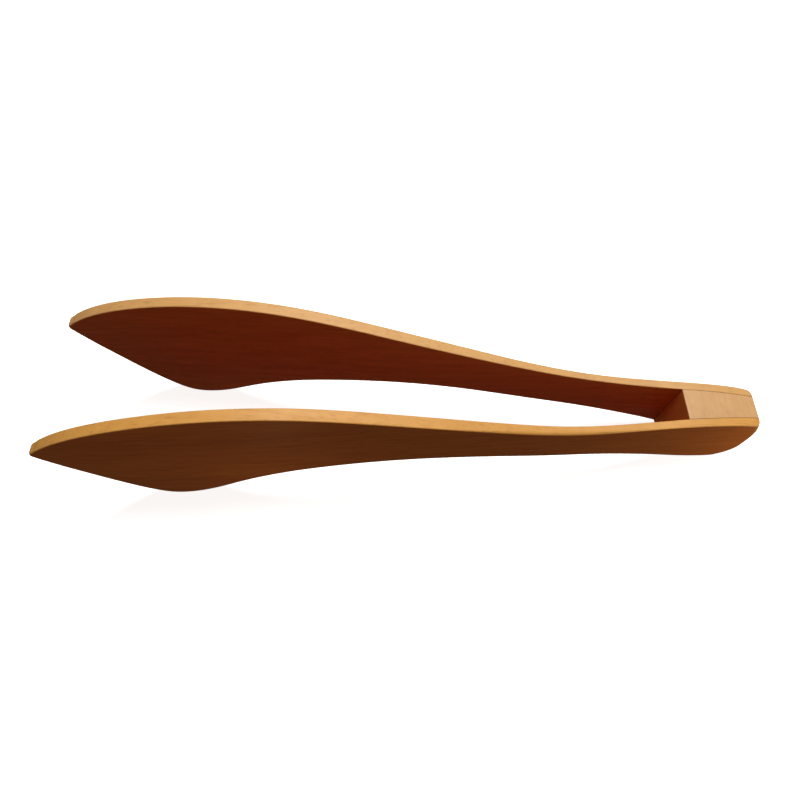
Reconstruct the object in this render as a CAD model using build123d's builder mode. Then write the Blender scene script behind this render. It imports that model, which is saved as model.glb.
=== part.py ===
from build123d import *
import os

os.makedirs("parts", exist_ok=True)

# Wooden kitchen tongs: two thin springy arms glued to a wedge block at the tail.
# Millimetres. X runs along the tongs with the tail at +X, Y across them, Z up.
# They stand on the lower edges of the arms and are the same on both sides of Y = 0.
# The arms bend as leaf springs, so each is parted at its thin neck into a heel, which
# stays with the block, and a blade, which turns about the neck.

# ---- driving dimensions ----
LENGTH = 299.6  # tail end to blade tips
BLOCK_LENGTH = 35.9  # wedge block, measured from the tail end
TAIL_HALF_GAP = 5.0  # inner face of an arm from the middle plane, at the tail end
THROAT_HALF_GAP = 7.3  # the same at the block's front face
GLUE_THICKNESS = 0.15  # film between the block and each arm
FLEX_STATION = 70.0  # where an arm bends, measured from the tail end
FLEX_GAP = 0.3  # parting between heel and blade
TAIL_CORNER_RADIUS = 2.6  # outer upright corner of an arm at the tail
EDGE_EASING = 0.6  # small chamfer around each blade

# Side outline, sawn through arms and block alike: (distance from the tail end, height).
TOP_EDGE = [(4.1, 32.7), (29, 35.4), (57, 35.5), (85, 37.7), (115, 44.6), (161, 58.5),
            (201, 69.5), (232, 72.3), (264, 68.5), (285, 61.4), (297.8, 53.4)]
TIP = (LENGTH, 51.6)
LOWER_EDGE = [(299.2, 49.6), (295, 42.6), (279, 18.3), (268, 5.2), (261, 0.7), (255, 0),
              (247, 1.5), (229, 9.7), (209, 17.1), (187, 21.1), (161, 22.8), (131, 20.9),
              (101, 15.8), (71, 11.5), (43, 5.9), (24, 1.3), (11, 0)]
TAIL_LOWER_RADIUS = 11.0
TAIL_STRAIGHT_TOP = 17.0  # height where the upright tail end starts to lean forward

# Plan of the inner face ahead of the block, run on past the tip: (distance, half gap).
INNER_FACE = [(81, 11.4), (131, 14.7), (191, 18.8), (251, 23.5), (309, 27.0)]

# Arm thickness in plan at the tail, the throat and the stations above.
THICKNESS = [3.8, 3.8, 3.9, 4.8, 5.2, 4.9, 5.1]

# ---- derived ----
TAIL_X = LENGTH / 2
FLEX_X = TAIL_X - FLEX_STATION
REACH = 90.0  # how far sawing shapes run past the wood
UP = (0, 1)  # in a side sketch


def at(station, value):
    """A sketch point from a distance along the tongs and a height or half gap."""
    return (TAIL_X - station, value)


def side_outline():
    """Side outline shared by the arms and the block."""
    top = [at(*point) for point in TOP_EDGE]
    lower = [at(*point) for point in LOWER_EDGE]
    tail_low = at(0, TAIL_LOWER_RADIUS)
    tail_high = at(0, TAIL_STRAIGHT_TOP)
    with BuildSketch(Plane.XZ) as outline:
        with BuildLine():
            Spline(top)
            ThreePointArc(top[-1], at(*TIP), lower[0])
            Spline(lower)
            RadiusArc(lower[-1], tail_low, -TAIL_LOWER_RADIUS)
            Line(tail_low, tail_high)
            TangentArc(tail_high, top[0], tangent=UP)
        make_face()
    return outline.sketch


def arm_plan():
    """Plan of the right arm: straight along the block, then gently bowed to the tip."""
    gaps = [(0, TAIL_HALF_GAP), (BLOCK_LENGTH, THROAT_HALF_GAP)] + INNER_FACE
    inner = [at(*point) for point in gaps]
    outer = [at(d, gap + thickness) for (d, gap), thickness in zip(gaps, THICKNESS)]
    along_block = (-BLOCK_LENGTH, THROAT_HALF_GAP - TAIL_HALF_GAP)
    along_tip = (inner[-1][0] - inner[-2][0], inner[-1][1] - inner[-2][1])
    with BuildSketch() as plan:
        with BuildLine():
            Line(inner[0], inner[1])
            Spline(inner[1:], tangents=[along_block, along_tip])
            Line(inner[-1], outer[-1])
            Spline(outer[1:], tangents=[along_block, along_tip])
            Line(outer[1], outer[0])
            Line(outer[0], inner[0])
        make_face()
        tail_corner = plan.vertices().group_by(Axis.X)[-1].sort_by(Axis.Y)[-1]
        fillet(tail_corner, TAIL_CORNER_RADIUS)
    return plan.sketch


def wedge_plan(half_tail, half_throat):
    """Plan of a wedge that fills the tail, from its half widths at tail and throat."""
    with BuildSketch() as plan:
        with BuildLine():
            Polyline(at(0, -half_tail), at(0, half_tail), at(BLOCK_LENGTH, half_throat),
                     at(BLOCK_LENGTH, -half_throat), close=True)
        make_face()
    return plan.sketch


def sawn(plan):
    """A plan shape as tall as the wood, sawn to the side outline."""
    with BuildPart() as blank:
        extrude(side_outline(), amount=REACH, both=True)
        extrude(plan, amount=REACH, mode=Mode.INTERSECT)
    return blank.part


def rims(part):
    """Edges around both broad faces of a blade, leaving out those at the parting."""
    broad_faces = part.faces().sort_by(SortBy.AREA)[-2:]
    return broad_faces.edges().filter_by(lambda edge: edge.center().X < FLEX_X - 1)


arm = sawn(arm_plan())
block_half_tail = TAIL_HALF_GAP - GLUE_THICKNESS
block_half_throat = THROAT_HALF_GAP - GLUE_THICKNESS

# ---- wedge block between the arms, flush with their edges ----
with BuildPart() as wedge_block:
    add(sawn(wedge_plan(block_half_tail, block_half_throat)))
wedge_block.part.label = "wedge_block"
export_step(wedge_block.part, "parts/wedge_block.step")

# ---- glue film on the block's right side ----
with BuildPart() as right_glue_film:
    add(sawn(wedge_plan(TAIL_HALF_GAP, THROAT_HALF_GAP)))
    add(wedge_block.part, mode=Mode.SUBTRACT)
    split(bisect_by=Plane.XZ, keep=Keep.BOTTOM)
right_glue_film.part.label = "right_glue_film"
export_step(right_glue_film.part, "parts/right_glue_film.step")

# ---- right arm, the end that is glued to the block ----
with BuildPart() as right_arm_heel:
    add(arm)
    split(bisect_by=Plane.YZ.offset(FLEX_X + FLEX_GAP / 2), keep=Keep.TOP)
right_arm_heel.part.label = "right_arm_heel"
export_step(right_arm_heel.part, "parts/right_arm_heel.step")

# ---- right arm, the springy neck and paddle blade ----
with BuildPart() as right_arm_blade:
    add(arm)
    split(bisect_by=Plane.YZ.offset(FLEX_X - FLEX_GAP / 2), keep=Keep.BOTTOM)
    chamfer(rims(right_arm_blade.part), EDGE_EASING)
right_arm_blade.part.label = "right_arm_blade"
export_step(right_arm_blade.part, "parts/right_arm_blade.step")

# ---- the left side mirrors the right ----
with BuildPart() as left_glue_film:
    mirror(right_glue_film.part, about=Plane.XZ)
left_glue_film.part.label = "left_glue_film"
export_step(left_glue_film.part, "parts/left_glue_film.step")

with BuildPart() as left_arm_heel:
    mirror(right_arm_heel.part, about=Plane.XZ)
left_arm_heel.part.label = "left_arm_heel"
export_step(left_arm_heel.part, "parts/left_arm_heel.step")

with BuildPart() as left_arm_blade:
    mirror(right_arm_blade.part, about=Plane.XZ)
left_arm_blade.part.label = "left_arm_blade"
export_step(left_arm_blade.part, "parts/left_arm_blade.step")
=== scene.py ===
import math

import bmesh
import bpy
import numpy as np
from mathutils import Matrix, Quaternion, Vector


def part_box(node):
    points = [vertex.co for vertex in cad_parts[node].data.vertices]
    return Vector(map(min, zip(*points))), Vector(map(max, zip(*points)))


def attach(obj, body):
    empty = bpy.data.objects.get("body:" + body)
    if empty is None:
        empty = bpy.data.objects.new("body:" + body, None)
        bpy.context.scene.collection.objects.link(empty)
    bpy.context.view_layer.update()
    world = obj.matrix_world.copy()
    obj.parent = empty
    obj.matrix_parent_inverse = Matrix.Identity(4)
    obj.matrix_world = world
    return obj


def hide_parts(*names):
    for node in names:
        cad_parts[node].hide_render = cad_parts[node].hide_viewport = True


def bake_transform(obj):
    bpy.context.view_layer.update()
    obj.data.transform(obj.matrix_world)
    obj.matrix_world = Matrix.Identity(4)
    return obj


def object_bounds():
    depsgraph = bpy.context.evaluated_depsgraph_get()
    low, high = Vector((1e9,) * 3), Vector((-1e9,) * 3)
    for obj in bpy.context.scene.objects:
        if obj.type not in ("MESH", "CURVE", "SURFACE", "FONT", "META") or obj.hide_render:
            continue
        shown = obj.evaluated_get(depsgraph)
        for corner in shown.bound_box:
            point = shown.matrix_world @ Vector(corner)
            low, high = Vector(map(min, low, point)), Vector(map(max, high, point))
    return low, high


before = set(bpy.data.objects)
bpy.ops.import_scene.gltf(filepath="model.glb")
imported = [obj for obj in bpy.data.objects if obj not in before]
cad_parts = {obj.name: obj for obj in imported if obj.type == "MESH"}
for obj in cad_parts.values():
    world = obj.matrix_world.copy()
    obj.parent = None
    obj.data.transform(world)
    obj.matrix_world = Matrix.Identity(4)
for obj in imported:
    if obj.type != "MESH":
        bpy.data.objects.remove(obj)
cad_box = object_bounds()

# Wooden kitchen tongs. Metres, Z up, tail at +X, blade tips at -X, the right arm at +Y.
MM = 0.001

# ---- camera ----
CAMERA_PLACE = (-0.01248, -0.11169, 0.25772)
CAMERA_TARGET = (-0.00958, 0.0, 0.03779)
CAMERA_ROLL = math.radians(1.66)
LENS = 26.1  # mm, on a 36 mm sensor

# ---- mesh ----
TIP_CHAMFER = 1.2 * MM  # the tips' chamfered end, where the plan isn't read
STATION_STEP = 1.5 * MM  # along the arms
END_COLUMNS = 12  # closer columns where an end rounds off
FACE_ROWS = 10  # quads up a broad face
CLOSE_ROW = 0.02  # share of its height at which a face has a row close to each edge
EASING_STEPS = 4  # quads around an eased edge
RIM_SHARES = (0.12, 0.5, 0.88)  # places of the rings across a rim
SHARP_ANGLE = math.radians(32)  # folds sharper than this aren't smoothed over
MITRE_LIMIT = 0.6  # keeps the outline's normals short at its corners
EDGE_EASING = 0.5 * MM
GLUED_EASING = 0.1 * MM  # edges that meet the block
GLUE_FADE = 9 * MM  # ahead of the block, where an inner edge takes up its full easing
BLOCK_FRONT_EASING = 0.35 * MM
BLOCK_FRONT_COLUMNS = 4
TAIL_CORNER = 4 * MM  # stretch of the plan, from the tail end, that the CAD corner takes up
TAIL_ROUNDING = 2.4 * MM  # extra easing of the outer edge around the tail end
TAIL_FADE = (4 * MM, 13 * MM)  # distances from the tail end over which it fades
GRIP = (45 * MM, 80 * MM, 100 * MM, 145 * MM)  # where the outer edges are eased for the hand
GRIP_DEPTH = 1.1 * MM
GRIP_INSET_TOP = 0.8 * MM
GRIP_INSET_BOTTOM = 1.6 * MM
NOSE_FADE = (4.5 * MM, 0.3 * MM)  # distances from the tip over which the ends round off
NOSE_DEPTH = 1.0 * MM
NOSE_INSET = 0.35 * MM
NOSE_LENGTH = 9 * MM
NOSE_TRIM = 0.02 * MM  # where the last column stands, short of the very tip

# ---- colours, linear ----
# The faces' colours are darker and redder than the rims' partly as the wood's own tone and partly
# as painted shade; the right face's extra red is a painted warm bounce from the other arm.
ARM_FACE_AND_SHADE = {"right": (0.58, 0.126, 0.018), "left": (0.57, 0.160, 0.017)}
# The right rim's whiter tone is a painted sheen.
ARM_RIM = {"right": (0.69, 0.385, 0.140), "left": (0.69, 0.345, 0.082)}
# The block's face colour is redder than its rim's partly as painted warm shade.
BLOCK_FACE_AND_SHADE = (0.82, 0.26, 0.05)
BLOCK_RIM = (0.65, 0.385, 0.175)
GLUE_COLOUR = (0.22, 0.075, 0.022)
FACE_SPREAD = 0.28  # from a colour to its darkest and lightest tone
RIM_SPREAD = 0.14
GLUE_SPREAD = 0.25
RIM_FADE = (0.2, 0.65)  # shares of rim where the face's colour ends and the rim's begins

# ---- grain, in features per metre along X, Y and Z ----
ARM_GRAIN = (14, 460, 460)
BLOCK_GRAIN = (620, 70, 12)
BAND_SCALE = 0.09  # of the grain's own scale
FIBRE_SCALE = 3.2
MOTTLE_SCALE = (220, 220, 220)
BEND_SCALE = (9, 20, 9)
BLOTCH_SCALE = (300, 300, 300)
GRAIN_WANDER = 2.5 * MM
ARM_TILT = {"right": math.radians(4), "left": math.radians(-3)}  # of the grain, seen from the side
ARM_SEED = {"right": 1.3, "left": 2.9}
BLOCK_SEED = 5.3
ARM_PORES = 0.8  # brightness inside a pore
BLOCK_PORES = 0.94
WOOD_GLOSS = 0.35
WOOD_ROUGHNESS = (0.58, 0.42)
WOOD_BUMP = 0.35
PORE_DEPTH = 0.08 * MM
GLUE_ROUGHNESS = (0.5, 0.35)
GLUE_DEPTH = 0.03 * MM

# ---- stage and light ----
FLOOR_SIZE = 6.0
FLOOR_DROP = 0.1 * MM
PAPER_GLOW = 0.86
PAPER_ROUGHNESS = 0.9
PAPER_SHADES = [(0.3, (0.88, 0.88, 0.88)), (0.7, (0.9, 0.9, 0.9))]
FLECK_SCALE = (40, 40, 40)
WALL_RADIUS = 2.8
WALL_HEIGHT = 5.0
WALL_SIDES = 96
TONGS_MIDDLE = (0.0, 0.0, 0.03)
KEY_PLACE = (0.16, 0.28, 0.85)
KEY_SIZE = 0.5
KEY_POWER = 8.0
KEY_COLOUR = (1.0, 0.97, 0.92)
FILL_PLACE = (-0.10, -0.90, 0.35)
FILL_SIZE = 0.8
FILL_POWER = 0.5
FILL_COLOUR = (1.0, 0.66, 0.42)
SIDE_PLACE = (0.195, -0.050, 0.026)
SIDE_TARGET = (0.135, -0.012, 0.016)
SIDE_SIZE = 0.04
SIDE_POWER = 0.02
SIDE_COLOUR = (1.0, 0.90, 0.78)
BOUNCE_PLACE = (-0.060, -0.078, 0.013)
BOUNCE_TARGET = (-0.075, -0.030, 0.006)
BOUNCE_SIZE = 0.02
BOUNCE_POWER = 0.0022
BOUNCE_COLOUR = (1.0, 0.80, 0.50)
WORLD_COLOUR = (1.0, 0.80, 0.62, 1)
WORLD_STRENGTH = 0.08


# ---------------------------------------------------------------- reading the frame
Y_COLUMN = 1  # of a point's coordinates
Z_COLUMN = 2


class Section:
    """Cuts CAD nodes with planes across X."""

    def __init__(self, names):
        points, edges = [], []
        for name in names:
            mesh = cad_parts[name].data
            first = len(points)
            points += [tuple(v.co) for v in mesh.vertices]
            edges += [(first + e.vertices[0], first + e.vertices[1]) for e in mesh.edges]
        self.points = np.array(points)
        self.start = self.points[[a for a, b in edges]]
        self.end = self.points[[b for a, b in edges]]

    def cut(self, x):
        """Where the edges cross the plane X = x, as rows of (x, y, z)."""
        before = self.start[:, 0] - x
        after = self.end[:, 0] - x
        crossing = before * after <= 0
        span = before[crossing] - after[crossing]
        share = np.where(np.abs(span) > 1e-9, before[crossing] / np.where(span == 0, 1, span), 0)
        start, end = self.start[crossing], self.end[crossing]
        return start + (end - start) * share[:, None]


def outer_knots(section, column, sign, clear=0.0):
    """CAD vertices on one extreme of the shape: the highest z, say, at each x they have."""
    knots = {}
    tolerance = 0.02 * MM
    tip_x = section.points[:, 0].min()
    for point in section.points[section.points[:, 0] >= tip_x + clear]:
        cut = section.cut(point[0])
        extreme = (sign * cut[:, column]).max()
        if sign * point[column] > extreme - tolerance:
            knots[round(float(point[0]), 6)] = sign * extreme
    return np.array(sorted(knots.items(), reverse=True))


def smoothed(knots, step=0.25 * MM, straight=8 * MM, corner=math.radians(25)):
    """A dense smooth path through knots. Long segments stay straight and corners stay sharp."""
    legs = np.diff(knots, axis=0)
    lengths = np.linalg.norm(legs, axis=1)
    directions = legs / lengths[:, None]
    path = []
    for i, length in enumerate(lengths):
        leaving = knot_direction(directions, lengths, i, i, straight, corner)
        arriving = knot_direction(directions, lengths, i + 1, i, straight, corner)
        t = np.linspace(0, 1, max(2, int(length / step)), endpoint=False)[:, None]
        path.append(knots[i] * (2 * t ** 3 - 3 * t ** 2 + 1)
                    + leaving * length * (t ** 3 - 2 * t ** 2 + t)
                    + knots[i + 1] * (3 * t ** 2 - 2 * t ** 3)
                    + arriving * length * (t ** 3 - t ** 2))
    return np.vstack(path + [knots[-1:]])


def knot_direction(directions, lengths, knot, segment, straight, corner):
    """Direction of a smooth path at a knot, as one of its two segments sees it."""
    if knot == 0 or knot == len(lengths) or lengths[segment] > straight:
        return directions[segment]
    before, after = directions[knot - 1], directions[knot]
    if before @ after < math.cos(corner):
        return directions[segment]
    if lengths[knot - 1] > straight:
        return before
    if lengths[knot] > straight:
        return after
    mixed = before * lengths[knot] + after * lengths[knot - 1]
    return mixed / np.linalg.norm(mixed)


class Shape:
    """The side outline that the arms and the block share, and the plan of an arm."""

    def __init__(self):
        arm = Section(["right_arm_heel", "right_arm_blade"])
        self.upper = smoothed(outer_knots(arm, Z_COLUMN, 1))
        self.lower = smoothed(outer_knots(arm, Z_COLUMN, -1))
        self.inner = smoothed(outer_knots(arm, Y_COLUMN, -1, TIP_CHAMFER))
        outer = outer_knots(arm, Y_COLUMN, 1, TIP_CHAMFER)
        self.outer = smoothed(squared(outer, TAIL_CORNER))
        self.tail_x = self.upper[0, 0]
        self.tip_x = self.upper[-1, 0]
        self.corner_x = sharpest(self.upper)[0]

    def inner_y(self, x):
        return along(self.inner, x)

    def outer_y(self, x):
        return along(self.outer, x)


def squared(knots, rounding, straight_knots=6):
    """Knots without the rounding of their first end: they run straight on to it instead."""
    end_x = knots[0, 0]
    kept = knots[knots[:, 0] < end_x - rounding]
    run = kept[straight_knots] - kept[0]
    end = (end_x, kept[0, 1] + run[1] / run[0] * (end_x - kept[0, 0]))
    return np.vstack([end, kept])


def sharpest(path):
    """The point of a path where it turns most."""
    legs = np.diff(path, axis=0)
    legs /= np.linalg.norm(legs, axis=1)[:, None]
    straightness = (legs[1:] * legs[:-1]).sum(1)
    return path[1:-1][straightness.argmin()]


def along(path, x):
    """Second coordinate of a path at x; the path runs from high x to low x."""
    return np.interp(x, path[::-1, 0], path[::-1, 1])


# ---------------------------------------------------------------- sawn wood meshes
class Slab:
    """A board sawn to the side outline, between two faces that are curved in plan."""

    def __init__(self, shape, stations, side_a, side_b, ease_a, ease_b, front_radius=0.0):
        """side_a and side_b give y at x; ease_a and ease_b give (inset, depth, slide) at
        (x, is_upper): how far an edge's rounding reaches down the broad face, how far across
        the rim, and how far it leans towards the tip."""
        self.stations = np.array(stations)
        self.sides = (side_a, side_b)
        self.eases = (ease_a, ease_b)
        nip = front_nip(self.stations, front_radius)
        self.upper = np.column_stack([stations, along(shape.upper, stations) - nip])
        self.lower = np.column_stack([stations, along(shape.lower, stations) + nip])
        self.shares = row_shares()
        self.loop, self.is_upper = self.outline_loop()
        self.normals = outward_normals(self.loop)

    def outline_loop(self):
        """The outline once around: upper edge, far end, lower edge, tail end."""
        inner_shares = self.shares[1:-1, None]
        far_end = self.upper[-1] + (self.lower[-1] - self.upper[-1]) * inner_shares
        tail_end = self.lower[0] + (self.upper[0] - self.lower[0]) * inner_shares
        loop = np.vstack([self.upper, far_end, self.lower[::-1], tail_end])
        middle = (along(self.upper, loop[:, 0]) + along(self.lower, loop[:, 0])) / 2
        return loop, loop[:, 1] > middle

    def ring(self, face, turn):
        """The outline where an eased edge has turned this far, from its broad face to the rim."""
        ease = np.array([self.eases[face](x, up) for x, up in zip(self.loop[:, 0], self.is_upper)])
        left = 1 - math.sin(turn)
        depth = ease[:, 1] * (1 - math.cos(turn))
        flat = self.loop - self.normals * (ease[:, 0] * left)[:, None]
        flat[:, 0] -= ease[:, 2] * left
        inward = 1 if face == 0 else -1
        y = self.sides[face](flat[:, 0]) + inward * depth
        return np.column_stack([flat[:, 0], y, flat[:, 1]])

    def rings(self):
        """Every ring from one broad face over the rim to the other."""
        turns = [math.pi / 2 * step / EASING_STEPS for step in range(EASING_STEPS + 1)]
        near = [self.ring(0, turn) for turn in turns]
        far = [self.ring(1, turn) for turn in reversed(turns)]
        across = [near[-1] + (far[0] - near[-1]) * share for share in RIM_SHARES]
        return near + across + far

    def build(self, name, mirrored=False):
        """The board as a Blender object."""
        rings = self.rings()
        size = len(self.loop)
        points = list(np.vstack(rings))
        faces = []
        for ring in range(len(rings) - 1):
            for i in range(size):
                here, there = ring * size, (ring + 1) * size
                j = (i + 1) % size
                faces.append((here + i, here + j, there + j, there + i))
        last_ring = (len(rings) - 1) * size
        faces += self.broad_face(points, 0, 0, flipped=True)
        faces += self.broad_face(points, last_ring, 1, flipped=False)
        points = np.array(points)
        if mirrored:
            points[:, 1] *= -1
        return mesh_object(name, points, faces)

    def broad_face(self, points, first, face, flipped):
        """Quads that fill a broad face column by column; the columns' ends are in its ring."""
        count = len(self.stations)
        rows = len(self.shares) - 1
        tail_run = 2 * count + (rows - 1)
        columns = []
        for k in range(count):
            top = first + k
            bottom = first + count + (rows - 1) + (count - 1 - k)
            if k == 0:
                inside = [first + tail_run + (rows - 2 - r) for r in range(rows - 1)]
            elif k == count - 1:
                inside = [first + count + r for r in range(rows - 1)]
            else:
                inside = []
                for share in self.shares[1:-1]:
                    point = points[top] + (points[bottom] - points[top]) * share
                    point[1] = self.sides[face](point[0])
                    inside.append(len(points))
                    points.append(point)
            columns.append([top] + inside + [bottom])
        faces = []
        for left, right in zip(columns, columns[1:]):
            for r in range(rows):
                quad = (left[r], left[r + 1], right[r + 1], right[r])
                faces.append(quad[::-1] if flipped else quad)
        return faces


def row_shares():
    """Rows down a broad face, with one close to each edge to keep the face's shading flat."""
    even = np.linspace(0, 1, FACE_ROWS + 1)[1:-1]
    return np.concatenate([[0, CLOSE_ROW], even, [1 - CLOSE_ROW, 1]])


def front_nip(stations, radius):
    """How much a rounded far end takes off the upper and lower edges at each station."""
    if radius == 0:
        return np.zeros(len(stations))
    into = np.clip(stations[-1] + radius - stations, 0, radius)
    return radius - np.sqrt(radius ** 2 - into ** 2)


def outward_normals(loop):
    """Normals of a closed outline that runs clockwise, lengthened at its corners."""
    ahead = np.roll(loop, -1, axis=0) - loop
    ahead /= np.linalg.norm(ahead, axis=1)[:, None]
    normal = np.column_stack([ahead[:, 1], -ahead[:, 0]])
    both = normal + np.roll(normal, 1, axis=0)
    both /= np.linalg.norm(both, axis=1)[:, None]
    stretch = np.clip((both * normal).sum(1), MITRE_LIMIT, 1)
    return both / stretch[:, None]


def sawn_and_unshaded_share(normal):
    """1 on the sawn edges, which face up, down or backwards, and 0 on the broad faces, whose
    darker colour is partly painted shade.
    """
    return math.hypot(max(normal.x, 0.0), normal.z)


def mesh_object(name, points, faces):
    """A mesh that keeps each vertex's rest place, for its grain, and its share of sawn edge, which
    takes the rim colour instead of the faces' partly painted shade.
    """
    mesh = bpy.data.meshes.new(name)
    mesh.from_pydata([tuple(p) for p in points], [], faces)
    mesh.update()
    rest = mesh.attributes.new("rest", "FLOAT_VECTOR", "POINT")
    rest.data.foreach_set("vector", points.astype(np.float32).ravel())
    fix_normals(mesh)
    # the rim share picks the lighter rim colour over the faces' colour, which carries painted
    # shade
    rims = mesh.attributes.new("rim", "FLOAT", "POINT")
    rims.data.foreach_set("value", [sawn_and_unshaded_share(vertex.normal) for vertex in mesh.vertices])
    mesh.shade_smooth()
    mesh.set_sharp_from_angle(angle=SHARP_ANGLE)
    obj = bpy.data.objects.new(name, mesh)
    bpy.context.scene.collection.objects.link(obj)
    return obj


def fix_normals(mesh):
    """Turns all faces outwards."""
    work = bmesh.new()
    work.from_mesh(mesh)
    bmesh.ops.recalc_face_normals(work, faces=work.faces)
    work.to_mesh(mesh)
    work.free()


# ---------------------------------------------------------------- the tongs' pieces
def eased_stations(start, end, count):
    """X values from start to end that crowd together at the start."""
    turns = np.linspace(0, math.pi / 2, count + 1)
    return start + (end - start) * (1 - np.cos(turns))


def arm_stations(shape):
    tail = eased_stations(shape.tail_x, shape.corner_x, END_COLUMNS)
    nose_start = shape.tip_x + NOSE_LENGTH
    nose = eased_stations(shape.tip_x + NOSE_TRIM, nose_start, END_COLUMNS)[::-1]
    count = round((tail[-1] - nose[0]) / STATION_STEP)
    middle = np.linspace(tail[-1], nose[0], count + 1)[1:-1]
    return np.concatenate([tail, middle, nose])


def block_stations(shape, front_x):
    tail = eased_stations(shape.tail_x, shape.corner_x, END_COLUMNS)
    front_end = front_x + BLOCK_FRONT_EASING
    front = eased_stations(front_x, front_end, BLOCK_FRONT_COLUMNS)[::-1]
    count = round((tail[-1] - front[0]) / STATION_STEP)
    middle = np.linspace(tail[-1], front[0], count + 1)[1:-1]
    return np.concatenate([tail, middle, front])


def arm_eases(shape, front_x):
    """Easing of an arm's inner and outer edges: crisp on the glue line, rounder elsewhere."""
    def inner(x, is_upper):
        free = ramp(x, front_x, front_x - GLUE_FADE)
        nose = ramp(x - shape.tip_x, *NOSE_FADE)
        radius = GLUED_EASING + (EDGE_EASING - GLUED_EASING) * free
        return radius + NOSE_INSET * nose, radius + NOSE_DEPTH * nose, 0.0

    def outer(x, is_upper):
        distance = shape.tail_x - x
        tail = 1 - ramp(distance, *TAIL_FADE)
        nose = ramp(x - shape.tip_x, *NOSE_FADE)
        grip = ramp(distance, *GRIP[:2]) * (1 - ramp(distance, *GRIP[2:]))
        grip_inset = GRIP_INSET_TOP if is_upper else GRIP_INSET_BOTTOM
        inset = EDGE_EASING + NOSE_INSET * nose + grip_inset * grip
        depth = EDGE_EASING + NOSE_DEPTH * nose + GRIP_DEPTH * grip + TAIL_ROUNDING * tail
        return inset, depth, TAIL_ROUNDING * tail
    return inner, outer


def ramp(x, start, end):
    """0 before start, 1 after end, smooth between."""
    t = min(max((x - start) / (end - start), 0), 1)
    return t * t * (3 - 2 * t)


def crisp(x, is_upper):
    """Easing of the block's long edges, which are glued all along."""
    return GLUED_EASING, GLUED_EASING, 0.0


def build_arm(shape, side, front_x):
    inner_ease, outer_ease = arm_eases(shape, front_x)
    slab = Slab(shape, arm_stations(shape), shape.inner_y, shape.outer_y, inner_ease, outer_ease)
    arm = slab.build(f"{side}_arm", mirrored=side == "left")
    arm.data.materials.append(arm_wood(side))
    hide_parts(f"{side}_arm_heel", f"{side}_arm_blade")
    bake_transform(arm)


def build_block(shape, front_x, glue):
    def left_face(x):
        return glue - shape.inner_y(x)

    def right_face(x):
        return shape.inner_y(x) - glue

    slab = Slab(shape, block_stations(shape, front_x), left_face, right_face, crisp, crisp,
                BLOCK_FRONT_EASING)
    block = slab.build("block")
    block.data.materials.append(block_wood())
    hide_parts("wedge_block")
    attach(block, "tail")


# ---------------------------------------------------------------- materials
def new_material(name):
    material = bpy.data.materials.new(name)
    material.use_nodes = True
    return material, material.node_tree


def link(tree, source, target):
    tree.links.new(source, target)


def attribute(tree, name):
    node = tree.nodes.new("ShaderNodeAttribute")
    node.attribute_name = name
    return node


def noise(tree, place, scale, detail, roughness=0.5):
    """Noise stretched by a scale per axis, in features per metre. It returns its value socket."""
    mapping = tree.nodes.new("ShaderNodeMapping")
    mapping.inputs["Scale"].default_value = scale
    link(tree, place, mapping.inputs["Vector"])
    texture = tree.nodes.new("ShaderNodeTexNoise")
    texture.inputs["Scale"].default_value = 1.0
    texture.inputs["Detail"].default_value = detail
    texture.inputs["Roughness"].default_value = roughness
    link(tree, mapping.outputs["Vector"], texture.inputs["Vector"])
    return texture.outputs["Fac"]


def remap(tree, value, low, high, to_low=0.0, to_high=1.0):
    node = tree.nodes.new("ShaderNodeMapRange")
    node.inputs["From Min"].default_value = low
    node.inputs["From Max"].default_value = high
    node.inputs["To Min"].default_value = to_low
    node.inputs["To Max"].default_value = to_high
    link(tree, value, node.inputs["Value"])
    return node.outputs["Result"]


def math_node(tree, operation, first, second):
    node = tree.nodes.new("ShaderNodeMath")
    node.operation = operation
    link(tree, first, node.inputs[0])
    if isinstance(second, float):
        node.inputs[1].default_value = second
    else:
        link(tree, second, node.inputs[1])
    return node.outputs["Value"]


def ramp_colour(tree, value, stops):
    node = tree.nodes.new("ShaderNodeValToRGB")
    elements = node.color_ramp.elements
    elements[0].position, elements[0].color = stops[0][0], (*stops[0][1], 1)
    elements[1].position, elements[1].color = stops[-1][0], (*stops[-1][1], 1)
    for position, colour in stops[1:-1]:
        elements.new(position).color = (*colour, 1)
    link(tree, value, node.inputs["Fac"])
    return node.outputs["Color"]


def mix_colour(tree, blend_type, first, second):
    """Mixes two colours all the way. It returns the mixed colour and the share to change it by."""
    node = tree.nodes.new("ShaderNodeMix")
    node.data_type = "RGBA"
    node.blend_type = blend_type
    share, mixed = node.inputs[0], node.outputs[2]
    share.default_value = 1.0
    link(tree, first, node.inputs[6])
    link(tree, second, node.inputs[7])
    return mixed, share


def wandering(tree, place, seed, tilt):
    """The rest place moved to the piece's own part of the wood, and bent a little like grain."""
    mapping = tree.nodes.new("ShaderNodeMapping")
    mapping.inputs["Location"].default_value = (seed, seed * 1.7, seed * 0.6)
    mapping.inputs["Rotation"].default_value = (0, tilt, 0)
    link(tree, place, mapping.inputs["Vector"])
    bend = noise(tree, mapping.outputs["Vector"], BEND_SCALE, 1.0)
    offset = remap(tree, bend, 0.3, 0.7, -GRAIN_WANDER, GRAIN_WANDER)
    shift = tree.nodes.new("ShaderNodeCombineXYZ")
    link(tree, offset, shift.inputs["Z"])
    total = tree.nodes.new("ShaderNodeVectorMath")
    total.operation = "ADD"
    link(tree, mapping.outputs["Vector"], total.inputs[0])
    link(tree, shift.outputs["Vector"], total.inputs[1])
    return total.outputs["Vector"]


def tones(base, spread):
    """Ramp stops of one colour, from a darker, redder tone to a lighter, yellower one."""
    dark = tuple(c * (1 - spread * w) for c, w in zip(base, (0.8, 1.1, 1.25)))
    light = tuple(min(c * (1 + spread * w), 1) for c, w in zip(base, (0.7, 1.0, 1.2)))
    return [(0.25, dark), (0.5, base), (0.75, light)]


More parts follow.
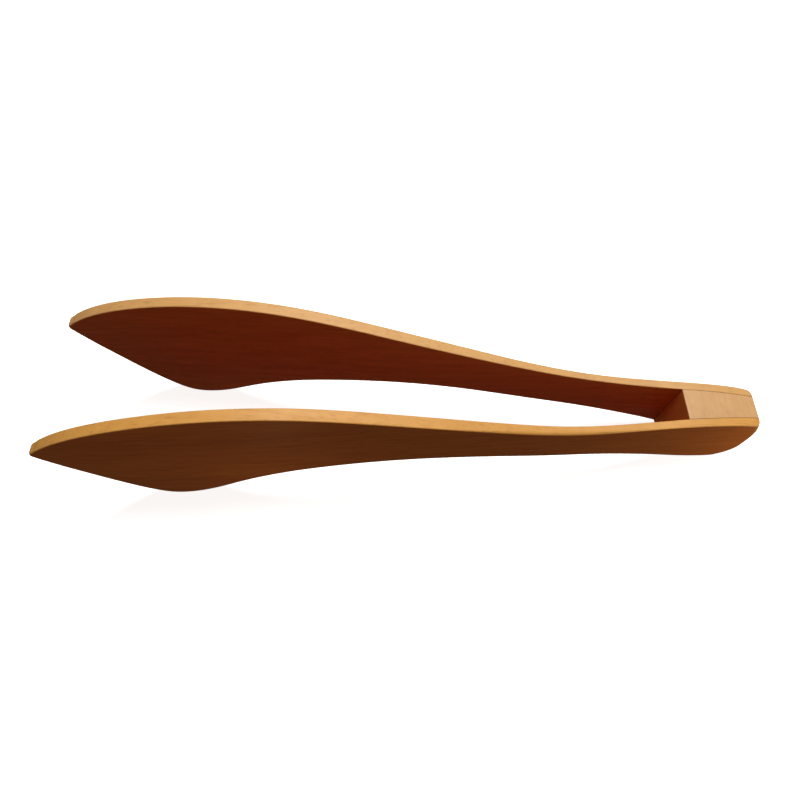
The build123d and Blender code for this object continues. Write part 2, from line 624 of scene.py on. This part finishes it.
def wood(name, face_colour_and_shade, rim_colour, grain, pore_shade, seed, tilt):
    """Oiled fruitwood. The grain's scale is small along the fibres and large across them."""
    material, tree = new_material(name)
    shader = tree.nodes["Principled BSDF"]
    shader.inputs["Specular IOR Level"].default_value = WOOD_GLOSS
    place = wandering(tree, attribute(tree, "rest").outputs["Vector"], seed, tilt)
    bands = noise(tree, place, [BAND_SCALE * g for g in grain], 2.0)
    streaks = noise(tree, place, grain, 4.0, 0.6)
    fibres = noise(tree, place, [FIBRE_SCALE * g for g in grain], 2.0)
    mottle = noise(tree, place, MOTTLE_SCALE, 3.0, 0.6)
    figure = math_node(tree, "ADD", math_node(tree, "MULTIPLY", bands, 0.45),
                       math_node(tree, "MULTIPLY", streaks, 0.55))
    # the broad faces' colour, partly the wood's tone and partly painted shade and warm bounce
    broad = ramp_colour(tree, figure, tones(face_colour_and_shade, FACE_SPREAD))
    rim_figure = math_node(tree, "ADD", math_node(tree, "MULTIPLY", streaks, 0.5),
                           math_node(tree, "MULTIPLY", mottle, 0.5))
    edge = ramp_colour(tree, rim_figure, tones(rim_colour, RIM_SPREAD))
    # faces and rims mix by the rim attribute, so faces side-on to the light take the colour with
    # painted shade
    colour, unshaded_share_socket = mix_colour(tree, "MIX", broad, edge)
    rim = attribute(tree, "rim").outputs["Fac"]
    link(tree, remap(tree, rim, *RIM_FADE), unshaded_share_socket)
    pores = remap(tree, fibres, 0.30, 0.42, pore_shade, 1.0)
    shade = tree.nodes.new("ShaderNodeCombineColor")
    for channel in ("Red", "Green", "Blue"):
        link(tree, pores, shade.inputs[channel])
    shaded, _ = mix_colour(tree, "MULTIPLY", colour, shade.outputs["Color"])
    link(tree, shaded, shader.inputs["Base Color"])
    link(tree, remap(tree, streaks, 0.3, 0.7, *WOOD_ROUGHNESS), shader.inputs["Roughness"])
    height = math_node(tree, "ADD", math_node(tree, "MULTIPLY", fibres, 0.7),
                       math_node(tree, "MULTIPLY", streaks, 0.6))
    add_bump(tree, height, WOOD_BUMP, PORE_DEPTH)
    return material


def add_bump(tree, height, strength, depth):
    bump = tree.nodes.new("ShaderNodeBump")
    bump.inputs["Strength"].default_value = strength
    bump.inputs["Distance"].default_value = depth
    link(tree, height, bump.inputs["Height"])
    link(tree, bump.outputs["Normal"], tree.nodes["Principled BSDF"].inputs["Normal"])


def colour_glue_films():
    """The CAD's glue films are seen as they are, under a glue material."""
    material = dried_glue()
    for side in ("right", "left"):
        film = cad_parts[f"{side}_glue_film"]
        film.data.materials.clear()
        film.data.materials.append(material)


def arm_wood(side):
    return wood(f"{side}_arm_wood", ARM_FACE_AND_SHADE[side], ARM_RIM[side], ARM_GRAIN, ARM_PORES,
                ARM_SEED[side], ARM_TILT[side])


def block_wood():
    return wood("block_wood", BLOCK_FACE_AND_SHADE, BLOCK_RIM, BLOCK_GRAIN, BLOCK_PORES,
                BLOCK_SEED, tilt=0.0)


def dried_glue():
    material, tree = new_material("dried_glue")
    shader = tree.nodes["Principled BSDF"]
    position = tree.nodes.new("ShaderNodeTexCoord").outputs["Object"]
    blotches = noise(tree, position, BLOTCH_SCALE, 2.0)
    colour = ramp_colour(tree, blotches, tones(GLUE_COLOUR, GLUE_SPREAD))
    link(tree, colour, shader.inputs["Base Color"])
    link(tree, remap(tree, blotches, 0.3, 0.7, *GLUE_ROUGHNESS), shader.inputs["Roughness"])
    add_bump(tree, blotches, 1.0, GLUE_DEPTH)
    return material


# ---------------------------------------------------------------- stage, light, camera
def paper():
    material, tree = new_material("studio_paper")
    shader = tree.nodes["Principled BSDF"]
    shader.inputs["Roughness"].default_value = PAPER_ROUGHNESS
    shader.inputs["Specular IOR Level"].default_value = 0.0
    shader.inputs["Emission Strength"].default_value = PAPER_GLOW
    shader.inputs["Emission Color"].default_value = (1, 1, 1, 1)
    position = tree.nodes.new("ShaderNodeTexCoord").outputs["Object"]
    fleck = noise(tree, position, FLECK_SCALE, 3.0)
    link(tree, ramp_colour(tree, fleck, PAPER_SHADES), shader.inputs["Base Color"])
    return material


def stage_sheet(name, work, material):
    """One sheet of the studio paper, which is seen but doesn't light the object."""
    mesh = bpy.data.meshes.new(name)
    work.to_mesh(mesh)
    work.free()
    mesh.materials.append(material)
    sheet = bpy.data.objects.new(name, mesh)
    sheet.location.z = cad_box[0][2] - FLOOR_DROP
    sheet.visible_diffuse = False
    sheet.visible_glossy = False
    bpy.context.scene.collection.objects.link(sheet)
    return sheet


def build_stage():
    material = paper()
    floor = bmesh.new()
    bmesh.ops.create_grid(floor, x_segments=8, y_segments=8, size=FLOOR_SIZE / 2)
    stage_sheet("floor", floor, material)
    wall = bmesh.new()
    bmesh.ops.create_cone(wall, segments=WALL_SIDES, radius1=WALL_RADIUS, radius2=WALL_RADIUS,
                          depth=WALL_HEIGHT)
    backdrop = stage_sheet("backdrop", wall, material)
    backdrop.visible_shadow = False


def area_light(name, place, target, size, power, colour):
    light = bpy.data.lights.new(name, "AREA")
    light.shape = "DISK"
    light.size = size
    light.energy = power
    light.color = colour
    lamp = bpy.data.objects.new(name, light)
    lamp.location = place
    direction = Vector(target) - Vector(place)
    lamp.rotation_euler = direction.to_track_quat("-Z", "Y").to_euler()
    lamp.visible_camera = False
    bpy.context.scene.collection.objects.link(lamp)


def build_lights():
    area_light("key", KEY_PLACE, TONGS_MIDDLE, KEY_SIZE, KEY_POWER, KEY_COLOUR)
    area_light("fill", FILL_PLACE, TONGS_MIDDLE, FILL_SIZE, FILL_POWER, FILL_COLOUR)
    area_light("side", SIDE_PLACE, SIDE_TARGET, SIDE_SIZE, SIDE_POWER, SIDE_COLOUR)
    area_light("bounce", BOUNCE_PLACE, BOUNCE_TARGET, BOUNCE_SIZE, BOUNCE_POWER, BOUNCE_COLOUR)
    world = bpy.data.worlds.new("studio")
    world.use_nodes = True
    background = world.node_tree.nodes["Background"]
    background.inputs["Color"].default_value = WORLD_COLOUR
    background.inputs["Strength"].default_value = WORLD_STRENGTH
    bpy.context.scene.world = world


def build_camera():
    data = bpy.data.cameras.new("camera")
    data.lens = LENS
    data.sensor_width = 36
    data.clip_start = 0.01
    camera = bpy.data.objects.new("camera", data)
    camera.location = CAMERA_PLACE
    direction = Vector(CAMERA_TARGET) - Vector(CAMERA_PLACE)
    roll = Quaternion((0, 0, 1), CAMERA_ROLL)
    camera.rotation_mode = "QUATERNION"
    camera.rotation_quaternion = direction.to_track_quat("-Z", "Y") @ roll
    bpy.context.scene.collection.objects.link(camera)
    bpy.context.scene.camera = camera


def main():
    bpy.context.scene.view_settings.view_transform = "Standard"
    shape = Shape()
    front_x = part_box("wedge_block")[0].x
    glue = float(shape.inner_y(front_x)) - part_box("wedge_block")[1].y
    build_arm(shape, "right", front_x)
    build_arm(shape, "left", front_x)
    build_block(shape, front_x, glue)
    colour_glue_films()
    build_stage()
    build_lights()
    build_camera()


main()
